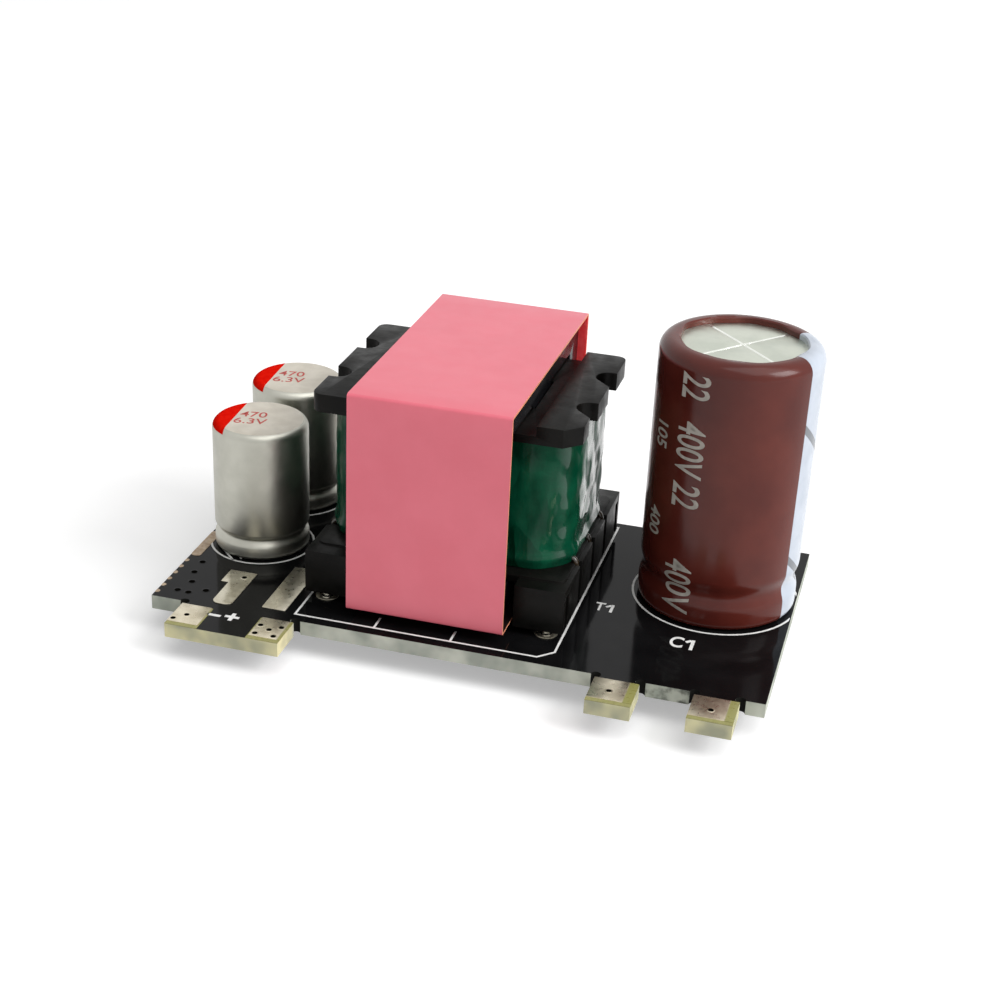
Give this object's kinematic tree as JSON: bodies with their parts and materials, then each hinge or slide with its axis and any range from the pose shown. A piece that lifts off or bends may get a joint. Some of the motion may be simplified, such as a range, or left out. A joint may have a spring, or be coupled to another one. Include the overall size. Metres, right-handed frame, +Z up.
{
  "type": "power supply module",
  "caption": "Open-frame AC to DC power supply module: black board with plug-in tabs, taped E-core transformer, tall bulk capacitor and small output capacitors.",
  "frame": {"origin": "centre of the bounding box in plan, at the level of the trimmed lead ends that the module rests on", "axes": "+X along the board's length towards the bulk capacitor, -Y the way the tabs plug in, +Z up from the board"},
  "size_m": [0.05, 0.0304, 0.0257],
  "materials": {
    "solder_mask_black": "black solder mask, semi-gloss",
    "tinned_copper": "hot-tinned land, satin",
    "solder": "solder, bright",
    "ferrite": "ground ferrite, matt",
    "pink_tape": "polyester tape, satin",
    "bobbin_black": "moulded phenolic, satin",
    "tinned_wire": "tinned, bright",
    "enamelled_copper": "enamelled wire, gloss",
    "insulation_film": "film tape, gloss",
    "green_wrap": "varnished green tape, gloss",
    "sleeved_wire": "varnished wire, gloss",
    "can_aluminium": "drawn aluminium, satin",
    "brown_sleeve": "shrink sleeve, gloss",
    "bung_rubber": "black rubber, matt",
    "package_black": "moulded epoxy, matt",
    "fuse_white": "ceramic, matt",
    "chip_ceramic": "ceramic, satin"
  },
  "bodies": {
    "root": {"circuit_board": "solder_mask_black", "tinned_lands": "tinned_copper", "solder_joints": "solder", "core_upper": "ferrite", "core_lower": "ferrite", "core_tape": "pink_tape", "bobbin": "bobbin_black", "bobbin_pins": "tinned_wire", "primary_winding": "enamelled_copper", "layer_insulation": "insulation_film", "secondary_winding": "enamelled_copper", "winding_wrap": "green_wrap", "lead_outs": "sleeved_wire", "bulk_can": "can_aluminium", "bulk_sleeve": "brown_sleeve", "bulk_seal": "bung_rubber", "bulk_leads": "tinned_wire", "output_can_front": "can_aluminium", "output_can_rear": "can_aluminium", "output_seals": "bung_rubber", "output_leads": "tinned_wire", "bridge_rectifier": "package_black", "switch_controller": "package_black", "sync_rectifier": "package_black", "package_leads": "tinned_wire", "input_fuse": "fuse_white", "diodes": "package_black", "barrier_capacitor": "chip_ceramic", "chip_resistors": "package_black", "chip_capacitors": "chip_ceramic", "chip_terminals": "tinned_wire"}
  },
  "joints": []
}
